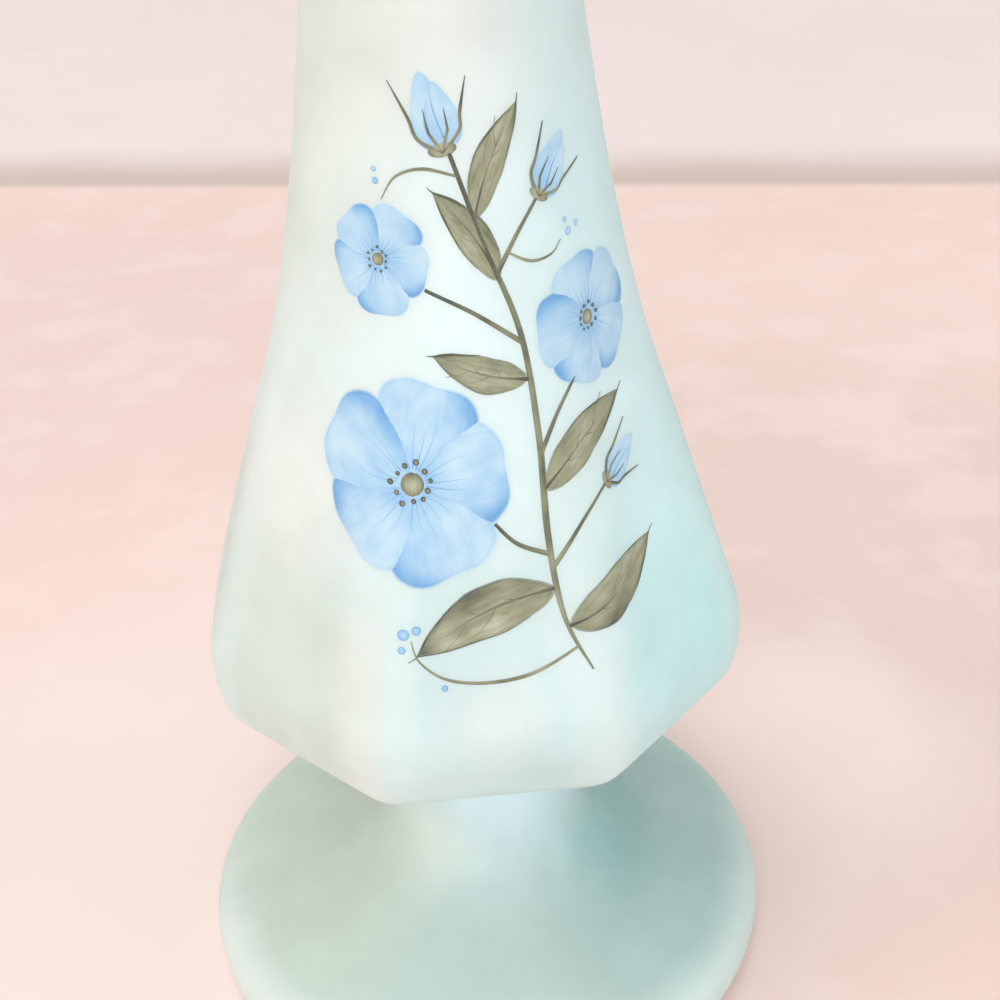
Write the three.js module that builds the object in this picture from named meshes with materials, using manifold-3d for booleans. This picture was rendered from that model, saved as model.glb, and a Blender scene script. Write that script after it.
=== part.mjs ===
// A pedestal bud vase in pale satin glass. An eight-panelled body is drawn up into a slim round neck
// with a crimped mouth, and stands on a short stem and a wide domed foot. A spray of flowers in raised
// enamel lies on the front panel.
// Millimetres, +Z up. The origin is the middle of the foot's underside, and the front panel faces -Y.

import * as THREE from 'three';
import { mergeVertices } from 'three/addons/utils/BufferGeometryUtils.js';
import { TessellateModifier } from 'three/addons/modifiers/TessellateModifier.js';
import Module from 'manifold-3d';

const wasm = await Module();
wasm.setup();

// Overall sizes
const totalHeight = 200;
const footRadius = 38;
const footTopHeight = 20; // the foot meets the stem here
const stemTopHeight = 41; // the stem meets the body here
const stemFootRadius = 12.9;
const stemHeadRadius = 12.2;
const panelCount = 8;

// Side of the body from the shoulder up: the distance from the axis to the middle of a panel
const shoulderHeight = 57;
const taperHeight = 90; // the straight taper ends here
const neckFootHeight = 112; // the body ends here, and the neck drawn out of it is round from here up
const neckHeight = 160; // the neck is slimmest here
const lipRadius = 1.3; // half of the wall's thickness at the mouth
const crimpLift = 1.2;
const crimpDepth = 1.3;
const crimpStartHeight = 178;
const mouthHeight = totalHeight - lipRadius - crimpLift;
const sideHeights = [shoulderHeight, 68, 79, taperHeight, 105, 120, 140, neckHeight, 176, 188, mouthHeight];
const sideRadii = [31.1, 27.65, 24.2, 20.75, 17.35, 14.85, 12.2, 11, 11.7, 14.9, 20.8];

// Bottom of the body: the underside, the edge it turns up at, and the band under the shoulder
const edgeRadius = 27.1;
const edgeHeight = 44.1;
const bandFootRadius = 30.7;
const bandFootHeight = 47;
const bandHeadRadius = 31.7;
const bandHeadHeight = 50.6;

// Foot: the hollow underneath, the flat ring that it stands on, the round rim and the low dome
const hollowHeight = 8;
const ringInnerRadius = 31;
const ringOuterRadius = 34.6;
const rimHeight = 4; // the rim is widest here
const rimTopRadius = 34.6;
const rimTopHeight = 8.2;
const domeTopRadius = 20.5;
const domeTopHeight = 12.7;

// Panels are crisp at the bottom of the body and melt into a round neck
const crispExponent = 24;
const roundExponent = 6;
const panelFadeStart = 52;
const panelFadeEnd = neckFootHeight;

// Wall of the body
const wallAtShoulder = 3.6;
const wallAtMouth = 2 * lipRadius;
const innerFloorHeight = 48;
const innerFloorRadius = 21;

// Facets
const bodyFacets = 64;
const footFacets = 48;

// Enamel: it lies just clear of the glass, and is raised by its own thickness
const enamelGap = 0.15;
const enamelThickness = 0.3;
const enamelClearance = 0.3; // between neighbouring patches
const enamelFacet = 3; // longest edge after the patch is wrapped on the glass
const splitPasses = 8;

const glass = new THREE.MeshStandardMaterial({ color: 0xd9ece6, roughness: 0.62, metalness: 0 });
const blueEnamel = new THREE.MeshStandardMaterial({ color: 0x9cc8ec, roughness: 0.45, metalness: 0 });
const oliveEnamel = new THREE.MeshStandardMaterial({ color: 0x8d8f70, roughness: 0.45, metalness: 0 });

// Lengths shared by the body's section

const sideCurve = new THREE.CubicInterpolant(sideHeights, sideRadii, 1, []);

function sideRadius(height) {
  return sideCurve.evaluate(height)[0];
}

function wallThickness(height) {
  const up = THREE.MathUtils.smoothstep(height, shoulderHeight, mouthHeight);
  return THREE.MathUtils.lerp(wallAtShoulder, wallAtMouth, up);
}

function panelExponent(height) {
  const fade = THREE.MathUtils.smoothstep(height, panelFadeStart, panelFadeEnd);
  return THREE.MathUtils.lerp(crispExponent, roundExponent, fade);
}

// Sum over the panels that face this way. Equal sums give a polygon with rounded corners, whose corners
// are sharper with a larger exponent.
function panelSum(angle, exponent) {
  let sum = 0;
  for (let panel = 0; panel < panelCount; panel += 1) {
    const facing = Math.cos(angle - (panel * 2 * Math.PI) / panelCount);
    sum += Math.max(facing, 0) ** exponent;
  }
  return sum;
}

// Angle 0 is the middle of the front panel, and angles grow towards +X
function bodyPoint(angle, radius, height, exponent) {
  const corner = (panelSum(0, exponent) / panelSum(angle, exponent)) ** (1 / exponent);
  const wave = Math.cos(panelCount * angle);
  const crimp = wave * THREE.MathUtils.smoothstep(height, crimpStartHeight, mouthHeight);
  const reach = radius * corner + crimpDepth * crimp;
  return new THREE.Vector3(reach * Math.sin(angle), -reach * Math.cos(angle), height - crimpLift * crimp);
}

// A closed body from rings of points, with a single point at each end on the axis
function loftRings(rings, firstPole, lastPole) {
  const facets = rings[0].length;
  const positions = [firstPole, ...rings.flat(), lastPole].flatMap((point) => point.toArray());
  const index = [];
  const at = (ring, facet) => 1 + ring * facets + (facet % facets);
  const last = 1 + rings.length * facets;
  for (let facet = 0; facet < facets; facet += 1) {
    index.push(0, at(0, facet + 1), at(0, facet));
    index.push(last, at(rings.length - 1, facet), at(rings.length - 1, facet + 1));
    for (let ring = 0; ring < rings.length - 1; ring += 1) {
      index.push(at(ring, facet), at(ring, facet + 1), at(ring + 1, facet + 1));
      index.push(at(ring, facet), at(ring + 1, facet + 1), at(ring + 1, facet));
    }
  }
  const geometry = new THREE.BufferGeometry();
  geometry.setAttribute('position', new THREE.Float32BufferAttribute(positions, 3));
  geometry.setIndex(index);
  return geometry;
}

// A closed tube from rings of points, with the last ring joined to the first
function closeRings(rings) {
  const facets = rings[0].length;
  const positions = rings.flat().flatMap((point) => point.toArray());
  const index = [];
  const at = (ring, facet) => (ring % rings.length) * facets + (facet % facets);
  for (let facet = 0; facet < facets; facet += 1) {
    for (let ring = 0; ring < rings.length; ring += 1) {
      index.push(at(ring, facet), at(ring, facet + 1), at(ring + 1, facet + 1));
      index.push(at(ring, facet), at(ring + 1, facet + 1), at(ring + 1, facet));
    }
  }
  const geometry = new THREE.BufferGeometry();
  geometry.setAttribute('position', new THREE.Float32BufferAttribute(positions, 3));
  geometry.setIndex(index);
  return geometry;
}

function spacedHeights(from, to, steps) {
  return Array.from({ length: steps }, (unused, step) => THREE.MathUtils.lerp(from, to, (step + 1) / steps));
}

// Underside, bottom edge, band and shoulder: from the stem out to the foot of the side
function lowerOutline() {
  const path = new THREE.Path();
  path.moveTo(stemHeadRadius, stemTopHeight);
  path.quadraticCurveTo(21, 41.6, edgeRadius, edgeHeight);
  path.quadraticCurveTo(29.7, 44.6, bandFootRadius, bandFootHeight);
  path.lineTo(bandHeadRadius, bandHeadHeight);
  path.quadraticCurveTo(32.2, 53.8, sideRadius(shoulderHeight), shoulderHeight);
  return path.getPoints(4);
}

// Mouth's rolled edge, over the top of the wall
function lipOutline() {
  const middle = sideRadius(mouthHeight) - lipRadius;
  const path = new THREE.Path();
  path.absarc(middle, mouthHeight, lipRadius, 0, Math.PI, false);
  return path.getPoints(2);
}

// Inside of the shoulder, down to the floor of the bowl
function floorOutline() {
  const start = sideRadius(shoulderHeight) - wallThickness(shoulderHeight);
  const path = new THREE.Path();
  path.moveTo(start, shoulderHeight);
  path.quadraticCurveTo(start + 0.6, innerFloorHeight + 1.2, innerFloorRadius, innerFloorHeight);
  return path.getPoints(4);
}

// Rings of points for stations of [radius, height, exponent]
function ringsAt(stations) {
  return stations.map(([radius, height, exponent]) => {
    const ring = [];
    for (let facet = 0; facet < bodyFacets; facet += 1) {
      ring.push(bodyPoint((facet * 2 * Math.PI) / bodyFacets, radius, height, exponent));
    }
    return ring;
  });
}

function innerExponent(height) {
  return (panelExponent(height) + roundExponent) / 2;
}

function innerRadius(height) {
  return sideRadius(height) - wallThickness(height);
}

// From the stem up the outside to the foot of the neck, and down the inside to the floor of the bowl
function makeBody() {
  const heightsUp = [
    ...spacedHeights(shoulderHeight, taperHeight, 7),
    ...spacedHeights(taperHeight, neckFootHeight, 4),
  ];
  const heightsDown = [
    ...spacedHeights(neckFootHeight, taperHeight, 2),
    ...spacedHeights(taperHeight, shoulderHeight, 4).slice(0, -1),
  ];
  const stations = [];
  for (const point of lowerOutline()) {
    const outward = THREE.MathUtils.smoothstep(point.x, stemHeadRadius, 27);
    const exponent = THREE.MathUtils.lerp(roundExponent, panelExponent(point.y), outward);
    stations.push([point.x, point.y, exponent]);
  }
  for (const height of heightsUp) {
    stations.push([sideRadius(height), height, panelExponent(height)]);
  }
  stations.push([innerRadius(neckFootHeight), neckFootHeight, roundExponent]);
  for (const height of heightsDown) {
    stations.push([innerRadius(height), height, innerExponent(height)]);
  }
  for (const point of floorOutline()) {
    const outward = THREE.MathUtils.smoothstep(point.x, innerFloorRadius, innerFloorRadius + 5);
    stations.push([point.x, point.y, THREE.MathUtils.lerp(roundExponent, innerExponent(point.y), outward)]);
  }
  const underside = new THREE.Vector3(0, 0, stemTopHeight);
  const innerFloor = new THREE.Vector3(0, 0, innerFloorHeight - 0.8);
  return loftRings(ringsAt(stations), underside, innerFloor);
}

// A tube with no ends: up the outside, over the lip, and down the inside to its own first ring
function makeNeck() {
  const heightsUp = [
    ...spacedHeights(neckFootHeight, neckHeight, 6),
    ...spacedHeights(neckHeight, mouthHeight, 8),
  ];
  const heightsDown = [
    ...spacedHeights(mouthHeight, neckHeight, 6),
    ...spacedHeights(neckHeight, neckFootHeight, 4),
  ];
  const stations = [[sideRadius(neckFootHeight), neckFootHeight, roundExponent]];
  for (const height of heightsUp) {
    stations.push([sideRadius(height), height, roundExponent]);
  }
  for (const point of lipOutline().slice(1)) {
    stations.push([point.x, point.y, roundExponent]);
  }
  for (const height of heightsDown) {
    stations.push([innerRadius(height), height, roundExponent]);
  }
  return closeRings(ringsAt(stations));
}

// A round piece from an outline that starts and ends on the axis
function turnOnAxis(points, facets) {
  const geometry = new THREE.LatheGeometry(points, facets);
  geometry.rotateX(Math.PI / 2);
  return geometry;
}

function makeStem() {
  const side = new THREE.SplineCurve([
    new THREE.Vector2(stemFootRadius, footTopHeight),
    new THREE.Vector2(12.15, 24),
    new THREE.Vector2(11.8, 29),
    new THREE.Vector2(11.85, 36),
    new THREE.Vector2(stemHeadRadius, stemTopHeight),
  ]);
  const bottom = new THREE.Vector2(0, footTopHeight);
  const top = new THREE.Vector2(0, stemTopHeight);
  return turnOnAxis([bottom, ...side.getPoints(6), top], footFacets);
}

// Hollow underside, flat ground ring, round rim, low dome, and the flare that sweeps up into the stem
function makeFoot() {
  const outline = new THREE.Path();
  outline.moveTo(0, hollowHeight);
  outline.bezierCurveTo(14, hollowHeight, 27, 5.4, ringInnerRadius, 0);
  outline.lineTo(ringOuterRadius, 0);
  outline.quadraticCurveTo(footRadius, 0.2, footRadius, rimHeight);
  outline.quadraticCurveTo(footRadius, 7.3, rimTopRadius, rimTopHeight);
  outline.bezierCurveTo(30, 9.5, 24.4, 10.9, domeTopRadius, domeTopHeight);
  outline.bezierCurveTo(17.3, 14.2, 13.7, 17.2, stemFootRadius, footTopHeight);
  outline.lineTo(0, footTopHeight);
  return turnOnAxis(outline.getPoints(5), footFacets);
}

// Enamel is drawn flat, as distance across the front and height, and then wrapped on the glass

function toSolid(geometry) {
  const bare = geometry.clone();
  bare.deleteAttribute('normal');
  bare.deleteAttribute('uv');
  const merged = mergeVertices(bare);
  return new wasm.Manifold(new wasm.Mesh({
    numProp: 3,
    vertProperties: new Float32Array(merged.attributes.position.array),
    triVerts: new Uint32Array(merged.index.array),
  }));
}

function fromSolid(solid) {
  const mesh = solid.getMesh();
  const geometry = new THREE.BufferGeometry();
  geometry.setAttribute('position', new THREE.BufferAttribute(new Float32Array(mesh.vertProperties), 3));
  geometry.setIndex(new THREE.BufferAttribute(new Uint32Array(mesh.triVerts), 1));
  return geometry;
}

function flatPatch(points) {
  const shape = new THREE.Shape(points);
  return toSolid(new THREE.ExtrudeGeometry(shape, { depth: enamelThickness, bevelEnabled: false }));
}

// A brush stroke along a smooth line, pointed at its far end
function brushStroke(line, startWidth, steps) {
  const curve = new THREE.SplineCurve(line.map(([across, height]) => new THREE.Vector2(across, height)));
  const left = [];
  const right = [];
  for (let step = 0; step <= steps; step += 1) {
    const along = step / steps;
    const point = curve.getPoint(along);
    const sideways = curve.getTangent(along).rotateAround(new THREE.Vector2(), Math.PI / 2);
    const halfWidth = (startWidth / 2) * (1 - 0.7 * along);
    left.push(point.clone().addScaledVector(sideways, halfWidth));
    right.unshift(point.clone().addScaledVector(sideways, -halfWidth));
  }
  return flatPatch([...left, ...right]);
}

// A lance-shaped leaf from its base on the stem to its tip, with a slight bend to one side
function leaf(baseAcross, baseHeight, tipAcross, tipHeight, width, bend) {
  const base = new THREE.Vector2(baseAcross, baseHeight);
  const run = new THREE.Vector2(tipAcross, tipHeight).sub(base);
  const sideways = run.clone().rotateAround(new THREE.Vector2(), Math.PI / 2).normalize();
  const steps = 6;
  const edge = (side) => Array.from({ length: steps + 1 }, (unused, step) => {
    const along = step / steps;
    const swell = Math.sin(Math.PI * along ** 0.8) + 0.12 * (1 - along);
    const offset = side * (width / 2) * swell + bend * Math.sin(Math.PI * along);
    return base.clone().addScaledVector(run, along).addScaledVector(sideways, offset);
  });
  return flatPatch([...edge(1), ...edge(-1).reverse()]);
}

// An open blossom seen from the front: round petals with a notch between each two
function openBlossom({ across, height, radius, petals, turn }, grow = 0) {
  const pointsPerPetal = 7;
  const count = petals * pointsPerPetal;
  const points = Array.from({ length: count }, (unused, step) => {
    const angle = (step * 2 * Math.PI) / count;
    const fullness = Math.abs(Math.cos((petals * angle) / 2)) ** 0.55;
    const reach = radius * (0.6 + 0.4 * fullness) + grow;
    const facing = angle + turn;
    return new THREE.Vector2(across + reach * Math.sin(facing), height + reach * Math.cos(facing));
  });
  return flatPatch(points.reverse());
}

// A drop-shaped bud, round at its base and pointed at its tip
function bud({ across, height, length, width, turn }, grow = 0) {
  const count = 18;
  const points = Array.from({ length: count }, (unused, step) => {
    const angle = (step * 2 * Math.PI) / count;
    const up = (length / 2 + grow) * Math.cos(angle);
    const sideways = (width / 2 + grow) * Math.sin(angle) * Math.sin(angle / 2) ** 0.9;
    return new THREE.Vector2(sideways, up).rotateAround(new THREE.Vector2(), -turn)
      .add(new THREE.Vector2(across, height));
  });
  return flatPatch(points.reverse());
}

// Splits long edges and bends the flat patch round the body
function wrapOnBody(solid) {
  const flat = fromSolid(solid).toNonIndexed();
  const fine = new TessellateModifier(enamelFacet, splitPasses).modify(flat);
  const position = fine.attributes.position;
  for (let vertex = 0; vertex < position.count; vertex += 1) {
    const height = position.getY(vertex);
    const radius = sideRadius(height);
    const lifted = radius + enamelGap + position.getZ(vertex);
    const point = bodyPoint(position.getX(vertex) / radius, lifted, height, panelExponent(height));
    position.setXYZ(vertex, point.x, point.y, point.z);
  }
  return mergeVertices(fine);
}

const largeBlossom = { across: -6.6, height: 82, radius: 10.6, petals: 5, turn: 0.25 };
const rightBlossom = { across: 13.4, height: 95.5, radius: 7, petals: 5, turn: -0.3 };
const upperBlossom = { across: -8.6, height: 103.5, radius: 5.6, petals: 5, turn: 0.6 };
const topBud = { across: -1.4, height: 117.6, length: 7.6, width: 4.4, turn: -0.2 };
const rightBud = { across: 8.6, height: 111.2, length: 6.4, width: 3.8, turn: 0.6 };
const lowBud = { across: 16.6, height: 80.6, length: 5.8, width: 3.4, turn: 1.1 };

function makeSprig() {
  const mainStem = [[10.6, 61.5], [7.9, 67.5], [6.7, 76], [6.4, 86], [5.2, 96], [2, 105], [-1, 114.2]];
  const strokes = [
    brushStroke(mainStem, 1.3, 13),
    brushStroke([[6.9, 74], [3.6, 75.4], [1.4, 77.6]], 0.8, 3),
    brushStroke([[6.5, 84], [8.6, 87.6], [11, 90.4]], 0.8, 4),
    brushStroke([[5.4, 95], [0.6, 98.4], [-4, 100.8]], 0.8, 4),
    brushStroke([[3.2, 102], [5.4, 105.4], [7, 108.8]], 0.7, 4),
    brushStroke([[7, 72.6], [10.6, 76.6], [14.2, 79.2]], 0.7, 4),
    leaf(8.3, 66.4, 20.4, 71.6, 5.2, 0.9),
    leaf(7.3, 70.6, -7.4, 64.6, 5.4, 1.1),
    leaf(6.5, 80.4, 17.4, 87, 4.2, -0.8),
    leaf(5.8, 91.4, -3.6, 94.4, 3.6, -0.5),
    leaf(3.4, 101.2, -2.6, 110, 3.4, 0.6),
    leaf(1.2, 107.2, 6, 117.6, 3.2, -0.6),
  ];
  let sprig = strokes[0];
  for (const stroke of strokes.slice(1)) {
    sprig = sprig.add(stroke);
  }
  for (const flower of [largeBlossom, rightBlossom, upperBlossom]) {
    sprig = sprig.subtract(openBlossom(flower, enamelClearance));
  }
  for (const flower of [topBud, rightBud, lowBud]) {
    sprig = sprig.subtract(bud(flower, enamelClearance));
  }
  return wrapOnBody(sprig);
}

const vase = new THREE.Group();

function addPart(name, geometry, material) {
  const mesh = new THREE.Mesh(geometry, material);
  mesh.name = name;
  vase.add(mesh);
}

addPart('foot', makeFoot(), glass);
addPart('stem', makeStem(), glass);
addPart('body', makeBody(), glass);
addPart('neck', makeNeck(), glass);
addPart('sprig', makeSprig(), oliveEnamel);
addPart('large_blossom', wrapOnBody(openBlossom(largeBlossom)), blueEnamel);
addPart('right_blossom', wrapOnBody(openBlossom(rightBlossom)), blueEnamel);
addPart('upper_blossom', wrapOnBody(openBlossom(upperBlossom)), blueEnamel);
addPart('top_bud', wrapOnBody(bud(topBud)), blueEnamel);
addPart('right_bud', wrapOnBody(bud(rightBud)), blueEnamel);
addPart('low_bud', wrapOnBody(bud(lowBud)), blueEnamel);

export default vase;
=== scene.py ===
import bmesh
import bpy
import math
import random
from mathutils import Matrix, Vector


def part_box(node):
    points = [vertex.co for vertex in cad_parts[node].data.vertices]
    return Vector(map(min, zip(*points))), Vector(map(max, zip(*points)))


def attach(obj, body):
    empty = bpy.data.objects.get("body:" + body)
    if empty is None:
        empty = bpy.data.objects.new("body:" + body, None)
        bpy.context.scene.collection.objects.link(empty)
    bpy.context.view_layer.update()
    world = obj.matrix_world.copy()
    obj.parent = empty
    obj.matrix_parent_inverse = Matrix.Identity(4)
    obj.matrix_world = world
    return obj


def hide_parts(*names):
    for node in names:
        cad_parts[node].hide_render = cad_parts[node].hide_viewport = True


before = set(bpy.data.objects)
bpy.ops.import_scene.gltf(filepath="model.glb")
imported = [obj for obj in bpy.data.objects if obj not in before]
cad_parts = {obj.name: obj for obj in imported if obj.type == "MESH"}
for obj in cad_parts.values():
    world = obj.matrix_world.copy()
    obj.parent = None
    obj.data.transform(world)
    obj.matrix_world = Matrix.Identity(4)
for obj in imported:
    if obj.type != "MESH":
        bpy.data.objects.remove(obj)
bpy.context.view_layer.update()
print("frame loaded")

mm = 0.001
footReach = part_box("foot")[1].x  # half of the foot's width
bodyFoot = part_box("body")[0].z  # the body begins here, on the stem

# camera: the photograph's view, looking down on the front panel
view = dict(
    distance=148.6,  # mm from the axis, level
    height=155.3,  # mm above the table
    around=-2.93,  # degrees round the vase from the front panel
    pan=4.45,  # degrees to the right of straight ahead
    tilt=31.1,  # degrees down
    roll=-2.26,
    lens=51.64,
    sensor=36,
    clip=(0.01, 20),
)


def newObject(name, data):
    thing = bpy.data.objects.new(name, data)
    bpy.context.scene.collection.objects.link(thing)
    return thing


def makeCamera():
    data = bpy.data.cameras.new("camera")
    data.lens, data.sensor_width = view["lens"], view["sensor"]
    data.clip_start, data.clip_end = view["clip"]
    camera = newObject("camera", data)
    around = math.radians(view["around"])
    place = Vector((math.sin(around), -math.cos(around), 0)) * view["distance"] * mm
    place.z = view["height"] * mm
    turn = Matrix.Rotation(-math.radians(view["pan"]), 4, "Z")
    turn @= Matrix.Rotation(math.radians(90 - view["tilt"]), 4, "X")
    turn @= Matrix.Rotation(math.radians(view["roll"]), 4, "Z")
    camera.matrix_world = Matrix.Translation(place) @ turn
    bpy.context.scene.camera = camera


makeCamera()
print("camera placed")


# tools for node materials

noiseSpan = (0.3, 0.7)  # most of a noise lies between these


def newMaterial(name):
    material = bpy.data.materials.new(name)
    material.use_nodes = True
    tree = material.node_tree
    place = tree.nodes.new("ShaderNodeTexCoord").outputs["Object"]
    return material, tree, tree.nodes["Principled BSDF"], place


def setUp(node, settings):
    # a key names a property of the node, or one of its sockets
    for key, value in settings.items():
        if hasattr(node, key):
            setattr(node, key, value)
        else:
            node.inputs[key].default_value = value


def feed(tree, sockets, values):
    for socket, value in zip(sockets, values):
        if isinstance(value, (int, float, tuple)):
            socket.default_value = value
        else:
            tree.links.new(value, socket)


def addNode(tree, kind, *values, **settings):
    # the values go to its first sockets
    node = tree.nodes.new(kind)
    setUp(node, settings)
    feed(tree, node.inputs, values)
    return node


def painted(tree, name, output="Fac"):
    # reads a value that the mesh carries at its points
    return addNode(tree, "ShaderNodeAttribute", attribute_name=name).outputs[output]


def srgb(red, green, blue):
    def linear(value):
        value /= 255
        return value / 12.92 if value <= 0.04045 else ((value + 0.055) / 1.055) ** 2.4
    return (linear(red), linear(green), linear(blue), 1)


def mathNode(tree, operation, *values, clamp=False):
    return addNode(tree, "ShaderNodeMath", *values, operation=operation, use_clamp=clamp).outputs[0]


def rangeNode(tree, value, low, high, toLow=0, toHigh=1, smooth=True):
    limits = {"From Min": low, "From Max": high, "To Min": toLow, "To Max": toHigh}
    kind = "SMOOTHSTEP" if smooth else "LINEAR"
    return addNode(tree, "ShaderNodeMapRange", value, interpolation_type=kind, **limits).outputs["Result"]


def mixColour(tree, factor, first, second, blend="MIX"):
    node = addNode(tree, "ShaderNodeMix", factor, data_type="RGBA", blend_type=blend)
    feed(tree, node.inputs[6:8], (first, second))
    return node.outputs[2]


def noiseNode(tree, vector, scale, detail, roughness):
    node = addNode(tree, "ShaderNodeTexNoise", vector, Scale=scale, Detail=detail, Roughness=roughness)
    return node.outputs["Fac"]


def separated(tree, vector):
    return addNode(tree, "ShaderNodeSeparateXYZ", vector).outputs


def stretched(tree, vector, scale):
    return addNode(tree, "ShaderNodeMapping", vector, Scale=scale).outputs["Vector"]


def vectorNode(tree, operation, *vectors):
    return addNode(tree, "ShaderNodeVectorMath", *vectors, operation=operation).outputs


def nearness(tree, place, middle, far, near):
    # 0 farther than far from the middle, 1 within near
    return rangeNode(tree, vectorNode(tree, "DISTANCE", place, middle)["Value"], far, near)


def linkSurface(tree, shader, colour, uneven, roughness, layers):
    # uneven is the noise that roughness follows; a layer is a height, a depth in metres and a strength
    normal = None
    for height, depth, strength in layers:
        node = addNode(tree, "ShaderNodeBump", Strength=strength, Distance=depth)
        tree.links.new(height, node.inputs["Height"])
        if normal is not None:
            tree.links.new(normal, node.inputs["Normal"])
        normal = node.outputs["Normal"]
    roughness = rangeNode(tree, uneven, *noiseSpan, *roughness)
    for key, value in {"Base Color": colour, "Roughness": roughness, "Normal": normal}.items():
        tree.links.new(value, shader.inputs[key])


def blendShaders(tree, share, first, second, output):
    node = addNode(tree, "ShaderNodeMixShader", share, first, second)
    tree.links.new(node.outputs[0], tree.nodes[output].inputs["Surface"])


# noises are scale, detail and roughness; heights, middles and reaches on the glass are in metres
# a fade of a tint is a measure, where the tint is none, where it is full, and its least share if not 0
frontOnly = ("facing", 0.7, -0.1)
lowOnBody = ("height", 0.074, 0.062)
leftPanel = ("bearing", -0.35, -0.39)
footAndStem = ("height", 0.041, 0.036)
# painted shade tones for the two sides of the glass
greyShade = srgb(200, 213, 204)
coolShade = srgb(183, 228, 231)

# satin glass: opaque milky aqua with an acid-etched skin
satinGlass = dict(
    pale=srgb(207, 227, 226),
    cloudy=srgb(195, 221, 221),
    clouds=(55, 4, 0.55),
    cloudStretch=(1, 1, 0.6),
    cloudFade=(0.36, 0.68),
    # laid over one another: colour, greatest share, fades
    tints=[
        # the glass is drawn out thin and paler towards the neck; on the front of the neck, painted shade
        # darkens its top, lies creamy grey on its left and cooler on its right
        (srgb(228, 245, 245), 0.7, ("height", 0.066, 0.1)),
        (srgb(218, 223, 217), 0.8, ("height", 0.106, 0.126), frontOnly),
        (srgb(208, 217, 207), 0.6, ("bearing", -0.05, -0.7), ("height", 0.076, 0.106), frontOnly),
        (srgb(190, 227, 229), 0.5, ("bearing", 0.1, 0.8), ("height", 0.074, 0.104), frontOnly),
        # painted shade: the body is shaded grey on its left and a cooler blue on its right
        (greyShade, 0.72, ("across", -0.009, -0.018), ("across", -0.034, -0.025),
         ("height", 0.083, 0.066, 0.35)),
        (coolShade, 0.66, ("across", 0.012, 0.028)),
        # low down both painted shades begin at the two front arrises, and painted warm light makes the left
        # panel creamy beside its arris
        (greyShade, 0.6, leftPanel, ("height", 0.049, 0.055), lowOnBody, frontOnly),
        (srgb(222, 220, 214), 0.45, leftPanel, ("bearing", -0.62, -0.45), lowOnBody, frontOnly),
        (coolShade, 0.45, ("bearing", 0.36, 0.52), lowOnBody, frontOnly),
        # stem, and the deeper tint of the thick glass of the foot, partly painted shade from the body above;
        # painted shade lies grey on the left of the foot and stem and darker on their right
        (srgb(206, 229, 234), 1, ("height", 0.041, 0.038)),
        (srgb(191, 211, 205), 1, ("height", 0.028, 0.01)),
        (srgb(198, 209, 193), 0.5, ("bearing", -0.2, -0.8), footAndStem),
        (srgb(175, 206, 204), 0.6, ("bearing", 0.2, 0.85), ("height", 0.025, 0.018, 0.35), footAndStem),
        # painted shade darkens the dome close to the stem on the right, and a painted highlight lightens the
        # rounded rim where light gathers
        (srgb(150, 193, 189), 0.75, ("radius", 0.0125, 0.0155), ("radius", 0.027, 0.018),
         ("bearing", 0.55, 0.95), ("height", 0.023, 0.019)),
        (srgb(220, 230, 227), 0.55, ("radius", 0.0318, 0.0368), ("height", 0.0125, 0.0095),
         ("depth", 0.016, -0.012, 0.15)),
    ],
    # soft patches of painted highlight and warm reflected light on the body and stem: colour, middle, reach,
    # share
    patches=[
        (srgb(228, 229, 225), (0.0005, -0.031, 0.0568), 0.0088, 0.5),
        (srgb(216, 235, 237), (0.0101, -0.0285, 0.0617), 0.0075, 0.65),
        (srgb(236, 230, 224), (-0.0195, -0.0145, 0.079), 0.016, 0.5),
        (srgb(206, 241, 243), (0.0175, -0.0185, 0.0735), 0.012, 0.4),
        (srgb(225, 238, 228), (-0.0073, -0.0115, 0.0205), 0.009, 0.6),
    ],
    veil=(120, 4, 0.55),  # faint unevenness all over
    veilRange=(0.3, 0.7, 0.955, 1.045),
    arrisHighlight=(srgb(220, 236, 232), 0.36),  # painted highlight: arrises look whiter where they catch the light
    specks=dict(colour=srgb(120, 130, 122), scale=130, rarity=0.9, size=(0.03, 0.012), share=0.45),
    # unevenness of the skin, from waves over mottling to etched grain: noise, depth in metres, strength
    skin=[
        ((38, 2, 0.4), 0.0006, 0.35),
        ((420, 3, 0.5), 0.00006, 0.25),
        ((2600, 2, 0.6), 0.00002, 0.35),
    ],
    roughness=(0.45, 0.57),
    sockets={"IOR": 1.5, "Subsurface Weight": 0.25, "Subsurface Radius": (1, 1, 1),
             "Subsurface Scale": 0.003},
)


def glassMeasures(tree, place):
    level = stretched(tree, place, (1, 1, 0))
    across, depth, height = separated(tree, place)
    outward = separated(tree, vectorNode(tree, "NORMALIZE", level)["Vector"])
    radius = vectorNode(tree, "LENGTH", level)["Value"]
    # bearing is -1 on the left of the vase and 1 on its right; facing is -1 at the front and 1 at the back
    return dict(across=across, depth=depth, height=height, radius=radius,
                bearing=outward["X"], facing=outward["Y"])


def glassColour(tree, place):
    glass = satinGlass
    measures = glassMeasures(tree, place)
    cloud = noiseNode(tree, stretched(tree, place, glass["cloudStretch"]), *glass["clouds"])
    colour = mixColour(tree, rangeNode(tree, cloud, *glass["cloudFade"]), glass["pale"], glass["cloudy"])
    for tint, share, *fades in glass["tints"]:
        for measure, none, full, *least in fades:
            share = mathNode(tree, "MULTIPLY", rangeNode(tree, measures[measure], none, full, *least), share)
        colour = mixColour(tree, share, colour, tint)
    # the soft patches are painted highlights and reflected light
    for patch, middle, reach, most in glass["patches"]:
        share = mathNode(tree, "MULTIPLY", nearness(tree, place, middle, reach, 0), most)
        colour = mixColour(tree, share, colour, patch)
    veil = rangeNode(tree, noiseNode(tree, place, *glass["veil"]), *glass["veilRange"], False)
    return mixColour(tree, 1, colour, veil, "MULTIPLY")


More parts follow.
